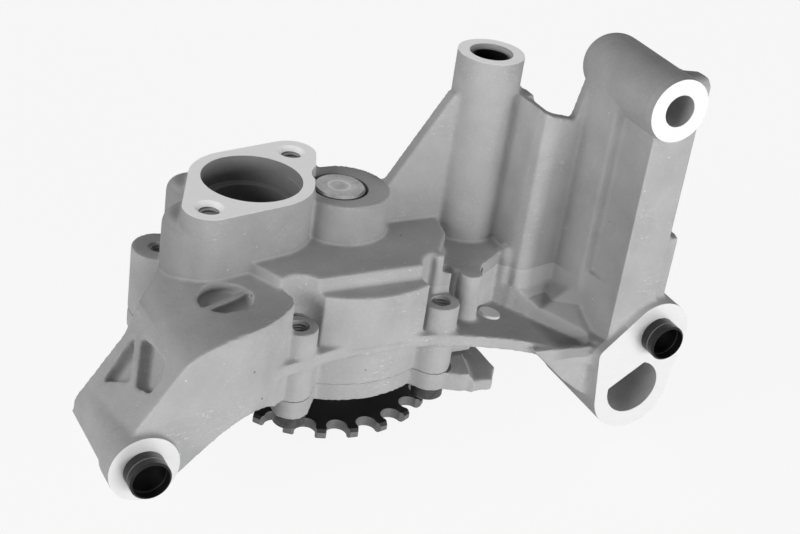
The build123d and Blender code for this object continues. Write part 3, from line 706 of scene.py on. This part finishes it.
def shelf_slot():
    """The narrow slot between the shelf and the pillar in front of it."""
    turn = radians(58)
    half_length, half_width, height = 3.0, 0.4, 11.3
    along = Vector((cos(turn), sin(turn), 0))
    across = Vector((-along.y, along.x, 0))
    middle = Vector((33.2, -20.3, 27.2))
    corners = [middle + along * a * half_length + across * b * half_width
               for a, b in ((-1, -1), (1, -1), (1, 1), (-1, 1))]
    return drawn_out(corners, (0, 0, height))


def ejector_mark():
    """The small raised disc on the web, square to the web's sloping top."""
    return rod((36.2, -22.9, 24.4), (0.187, 0.0, 0.982), 1.75, 2.8)


def machine_cuts():
    """All the cutters of the milled faces and the bores."""
    whole_front = [(-95.0, -15.0), (95.0, -15.0), (95.0, 110.0), (-95.0, 110.0)]
    over_flange = [(-60.0, -30.0), (2.0, -30.0), (2.0, 30.0), (-60.0, 30.0)]
    over_post = [(28.0, -12.0), (48.0, -12.0), (48.0, 12.0), (28.0, 12.0)]
    cuts = [
        prism(1, whole_front, -60.0, pad_front), prism(2, over_flange, flange_top, 64.0),
        prism(2, over_post, post_top, 93.0),
        upright(*suction, suction_radius, 51.4, 62.0),
        upright(*suction, 10.2, suction_floor, 52.0),
        upright(0.0, 0.0, 7.4, 50.0, 60.0),
        upright(*post, 5.6, 88.5, 92.0), upright(*post, sleeve_radius, post_seat, 90.0),
        lying(*tower_hole, 4.2, -60.0, -5.0),
        lying(*left_sleeve, sleeve_radius, -60.0, sleeve_seat),
        lying(*right_sleeve, sleeve_radius, -60.0, sleeve_seat),
        outlet_mouth(), shelf_slot(),
        *[upright(*screw, lug_radius, 12.0, 36.0) for screw in lug_screws]]
    for screw in flange_screws:
        cuts += [upright(*screw, screw_radius, 43.4, 60.0),
                 upright(*screw, screw_radius, 57.25, 59.25, 4.5)]
    return together(cuts)


def skin(piece, sizes):
    """Rebuilds the piece's mesh as one even skin."""
    remesh = piece.modifiers.new("skin", "REMESH")
    remesh.mode = "VOXEL"
    remesh.voxel_size = sizes.grid * 1.0
    settled_mesh(piece)


def casting(name, node, sizes, flats, removed, added, milled, material):
    """A new skin for the frame's node: shapes are removed from it and added to it, its surface is
    rebuilt and smoothed away from the flats, and milled, if given, makes its machining cutters."""
    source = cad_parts[node]
    piece = bpy.data.objects.new(name, source.data.copy())
    bpy.context.scene.collection.objects.link(piece)
    work = bmesh.new()
    work.from_mesh(piece.data)
    bmesh.ops.remove_doubles(work, verts=work.verts, dist=0.002 * mm)
    work.to_mesh(piece.data)
    work.free()
    low, high = (np.array(corner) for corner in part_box(node))
    combine(piece, removed, "DIFFERENCE")
    put_in(piece, added)
    skin(piece, sizes)
    places = points_of(piece)
    held = seat_on_flats(places, normals_of(piece), flats, sizes.grid)
    write_points(piece, places)
    group = piece.vertex_groups.new(name="cast")
    group.add([int(i) for i in np.nonzero(~held)[0]], 1.0, "REPLACE")
    smooth = piece.modifiers.new("rounding", "SMOOTH")
    smooth.factor = 0.5
    smooth.iterations = sizes.rounding
    smooth.vertex_group = "cast"
    settled_mesh(piece)
    if milled:
        combine(piece, [ejector_mark()], "UNION")
        combine(piece, [milled()], "DIFFERENCE")
    count = sum(len(face.vertices) - 2 for face in piece.data.polygons)
    if count > sizes.triangles:
        thin = piece.modifiers.new("thin", "DECIMATE")
        thin.ratio = sizes.triangles / count
        settled_mesh(piece)
    write_points(piece, np.clip(points_of(piece), low, high))
    piece.vertex_groups.clear()
    piece.data.materials.clear()
    piece.data.materials.append(material)
    for face in piece.data.polygons:
        face.use_smooth = True
        face.material_index = 0
    piece.data.set_sharp_from_angle(angle=radians(38))
    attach(piece, "housing")
    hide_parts(node)


class OILPUMP_OT_castings(bpy.types.Operator):
    """Skins of the pump body and its cover, with soft cast edges and crisp machined faces"""

    bl_idname = "oilpump.castings"
    bl_label = "Castings"

    def execute(self, context):
        sizes = context.scene.casting_sizes
        material = cast_aluminium(context.scene.casting_colours)
        far = 200 * mm
        flats = [
            (2, boss_top * mm, (-14 * mm, -14 * mm, 0), (14 * mm, 14 * mm, far)),
            (2, joint_level * mm, (-50 * mm, -34 * mm, 0), (36 * mm, 52 * mm, far)),
            (2, case_top * mm, (-26 * mm, -24 * mm, 0), (26 * mm, 29 * mm, far)),
            (2, lug_top * mm, (-27 * mm, -34 * mm, 0), (26 * mm, -20 * mm, far))]
        added = new_forms() + milling_stock(sizes.proud / mm)
        casting("body_skin", "pump_body", sizes, flats, old_forms(), added, machine_cuts, material)

        cover_flats = [(2, level * mm, (-far, -far, -far), (far, far, far))
                       for level in (joint_level, 10.0, 5.0)]
        tab = [(20.5, -31.0), (24.4, -33.1), (32.9, -34.8), (36.4, -29.0), (36.8, -19.6),
               (28.0, -4.0), (20.0, -20.0)]
        tab_root = [(20.5, -31.0), (24.4, -33.1), (26.4, -33.4), (29.4, -24.0), (26.0, -16.0),
                    (20.0, -20.0)]
        old_rib = [(26.6, -36.5), (30.0, -24.0), (27.0, -15.0), (34.0, -15.0), (34.0, -36.5)]
        casting("cover_skin", "pump_cover", sizes, cover_flats, [prism(2, old_rib, 13.2, 15.5)],
                [prism(2, tab, 10.0, 13.2), prism(2, tab_root, 10.0, 14.6)], None, material)
        return {"FINISHED"}


def thread_ridge(name, place, radius, pitch, height, turns, material):
    """A ridge that winds down a hole, from its mouth."""
    work = bmesh.new()
    centre = Vector(place)
    outline = [(radius, 0.42), (radius - height, 0.0), (radius, -0.42)]
    below_mouth = 0.6 * pitch
    corners = [work.verts.new(centre + Vector((away, 0, level * pitch - below_mouth)))
               for away, level in outline]
    profile = [work.edges.new((corners[i], corners[(i + 1) % 3])) for i in range(3)]
    steps = 28
    bmesh.ops.spin(
        work, geom=corners + profile, cent=centre, axis=(0, 0, 1), dvec=(0, 0, -pitch / steps),
        angle=2 * pi * turns, steps=steps * turns, use_merge=False, use_duplicate=False)
    bmesh.ops.holes_fill(work, edges=[edge for edge in work.edges if edge.is_boundary], sides=3)
    bmesh.ops.recalc_face_normals(work, faces=work.faces)
    mesh = bpy.data.meshes.new(name)
    work.to_mesh(mesh)
    work.free()
    for face in mesh.polygons:
        face.use_smooth = True
    mesh.set_sharp_from_angle(angle=radians(30))
    mesh.materials.append(material)
    piece = bpy.data.objects.new(name, mesh)
    bpy.context.scene.collection.objects.link(piece)
    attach(piece, "housing")


class OILPUMP_OT_threads(bpy.types.Operator):
    """Thread ridges in the flange's and the lugs' screw holes"""

    bl_idname = "oilpump.threads"
    bl_label = "Threads"

    def execute(self, context):
        sizes = context.scene.thread_sizes
        # The threads' dark grey is partly painted shade inside their holes.
        material = plain_metal("cut_thread", (0.26, 0.26, 0.26), 0.4, 0.4).material
        in_flange = (57.3, 2.52, sizes.flange_pitch, 8)
        in_lug = (34.0, 2.56, sizes.lug_pitch, 5)
        threads = [
            ("flange_thread_left", flange_screws[0], *in_flange),
            ("flange_thread_right", flange_screws[1], *in_flange),
            ("lug_thread_left", lug_screws[0], *in_lug),
            ("lug_thread_right", lug_screws[1], *in_lug),
            ("boss_thread", boss_screw, 33.4, 2.56, sizes.lug_pitch, 4)]
        for name, (x, y), top, radius, pitch, turns in threads:
            thread_ridge(name, (x * mm, y * mm, top * mm), radius * mm, pitch, sizes.height, turns,
                         material)
        return {"FINISHED"}


class OILPUMP_OT_metals(bpy.types.Operator):
    """Finishes of the steel, bronze and aluminium pieces that keep their own shape"""

    bl_idname = "oilpump.metals"
    bl_label = "Metal finishes"

    def execute(self, context):
        sleeve = sleeve_steel()
        dark = plain_metal("dark_steel", (0.05, 0.05, 0.052), 0.45, 0.6, 0.5, 0.01).material
        bright = plain_metal("bright_steel", (0.45, 0.45, 0.46), 0.3, 0.9, 0.4, 0.005).material
        sintered = plain_metal("sintered_steel", (0.24, 0.24, 0.245), 0.48, 0.8, 0.3, 0.02).material
        bronze = plain_metal("bush_bronze", (0.5, 0.35, 0.17), 0.35, 0.9, 0.4, 0.008).material
        soft = plain_metal("soft_aluminium", (0.62, 0.62, 0.63), 0.4, 0.9, 0.6, 0.01).material
        finishes = {
            "left_mount_sleeve": sleeve, "right_mount_sleeve": sleeve, "post_dowel_sleeve": sleeve,
            "cover_bolts": dark, "sprocket_bolt": dark, "sprocket_washer": dark,
            "drive_sprocket": sprocket_steel(), "drive_shaft": turned_steel(),
            "inner_rotor": sintered, "outer_rotor": sintered,
            "body_shaft_bush": bronze, "cover_shaft_bush": bronze,
            "rotor_drive_pin": bright, "cover_dowels": bright, "gallery_plug": bright,
            "relief_piston": bright, "relief_spring": bright, "relief_plug": bright,
            "relief_plug_seal": soft}
        for node, material in finishes.items():
            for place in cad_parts[node].material_slots:
                place.material = material
        return {"FINISHED"}


def area_light(name, place, target, power, width, height):
    lamp = bpy.data.lights.new(name, "AREA")
    lamp.shape = "RECTANGLE"
    lamp.size = width
    lamp.size_y = height
    lamp.energy = power
    holder = bpy.data.objects.new(name, lamp)
    holder.location = place
    holder.rotation_euler = (Vector(target) - Vector(place)).to_track_quat("-Z", "Y").to_euler()
    bpy.context.scene.collection.objects.link(holder)


class OILPUMP_OT_stage(bpy.types.Operator):
    """Floor, lights, surround and the camera at the photo's angle"""

    bl_idname = "oilpump.stage"
    bl_label = "Stage"

    def execute(self, context):
        sizes = context.scene.stage_sizes
        scene = context.scene
        work = bmesh.new()
        bmesh.ops.create_grid(work, x_segments=1, y_segments=1, size=sizes.floor_width / 2)
        bmesh.ops.translate(work, verts=work.verts, vec=(0, 0, sizes.floor_level))
        mesh = bpy.data.meshes.new("floor")
        work.to_mesh(mesh)
        work.free()
        floor = bpy.data.objects.new("floor", mesh)
        scene.collection.objects.link(floor)
        paper = Finish("white_floor")
        paper.set(base_color=(0.9, 0.9, 0.9), roughness=0.8)
        glow = paper.node("ShaderNodeEmission", {},
                          {"Color": (1.0, 1.0, 1.0, 1.0), "Strength": 1.0})
        rays = paper.node("ShaderNodeLightPath")
        seen = Flow(paper, rays.outputs["Is Camera Ray"])
        mirrored = Flow(paper, rays.outputs["Is Glossy Ray"])
        share = (seen * 0.9 + mirrored * 0.8).clamped()
        mixed = paper.node("ShaderNodeMixShader", {},
                           {0: share, 1: paper.shader.outputs[0], 2: glow.outputs[0]})
        paper.tree.links.new(mixed.outputs[0], paper.output.inputs[0])
        floor.data.materials.append(paper.material)

        world = bpy.data.worlds.new("surround")
        world.use_nodes = True
        scene.world = world
        tree = world.node_tree
        sky = tree.nodes["Background"]
        rays = tree.nodes.new("ShaderNodeLightPath")
        either = tree.nodes.new("ShaderNodeMath")
        either.operation = "MAXIMUM"
        tree.links.new(rays.outputs["Is Camera Ray"], either.inputs[0])
        tree.links.new(rays.outputs["Is Glossy Ray"], either.inputs[1])
        level = tree.nodes.new("ShaderNodeMapRange")
        level.inputs["To Min"].default_value = sizes.surround
        level.inputs["To Max"].default_value = 1.0
        tree.links.new(either.outputs[0], level.inputs["Value"])
        tree.links.new(level.outputs[0], sky.inputs["Strength"])
        sky.inputs["Color"].default_value = (1.0, 1.0, 1.0, 1.0)

        middle = (0, 0, 0.03)
        area_light("front_light", (0.35, -1.2, 0.12), middle, sizes.front_power, 0.9, 0.4)
        area_light("left_light", (-1.2, -0.2, 0.42), middle, sizes.left_power, 0.9, 0.5)

        # The camera's place and turn were solved from the sprocket, the round pads and the bore
        lens = bpy.data.cameras.new("photo_camera")
        lens.lens = 72
        lens.sensor_width = 36
        lens.clip_start = 0.01
        camera = bpy.data.objects.new("photo_camera", lens)
        camera.matrix_world = Matrix((
            (0.88250266, 0.11911388, -0.45497356, -0.17271),
            (-0.45118728, 0.48745563, -0.74754067, -0.31867),
            (0.13273695, 0.86498491, 0.48392355, 0.23514),
            (0, 0, 0, 1)))
        scene.collection.objects.link(camera)
        scene.camera = camera
        scene.view_settings.view_transform = "Standard"
        return {"FINISHED"}


class OILPUMP_PT_panel(bpy.types.Panel):
    """Shows the pump's settings and the buttons of its steps in the sidebar"""

    bl_idname = "OILPUMP_PT_panel"
    bl_label = "Oil pump"
    bl_space_type = "VIEW_3D"
    bl_region_type = "UI"
    bl_category = "Oil pump"

    def draw(self, context):
        layout = self.layout
        for group_name in groups:
            group = getattr(context.scene, group_name)
            box = layout.box()
            for name in group.bl_rna.properties.keys():
                if name not in ("name", "rna_type"):
                    box.prop(group, name)
        for operator in operators:
            layout.operator(operator.bl_idname)


groups = {"casting_sizes": CastingSizes, "casting_colours": CastingColours,
          "thread_sizes": ThreadSizes, "stage_sizes": StageSizes}
operators = [OILPUMP_OT_castings, OILPUMP_OT_threads, OILPUMP_OT_metals, OILPUMP_OT_stage]


def register():
    for kind in [*groups.values(), *operators, OILPUMP_PT_panel]:
        bpy.utils.register_class(kind)
    for name, kind in groups.items():
        setattr(bpy.types.Scene, name, PointerProperty(type=kind))


def unregister():
    for name in groups:
        delattr(bpy.types.Scene, name)
    for kind in reversed([*groups.values(), *operators, OILPUMP_PT_panel]):
        bpy.utils.unregister_class(kind)


def main():
    register()
    bpy.ops.oilpump.castings()
    bpy.ops.oilpump.threads()
    bpy.ops.oilpump.metals()
    bpy.ops.oilpump.stage()


if __name__ == "__main__":
    main()
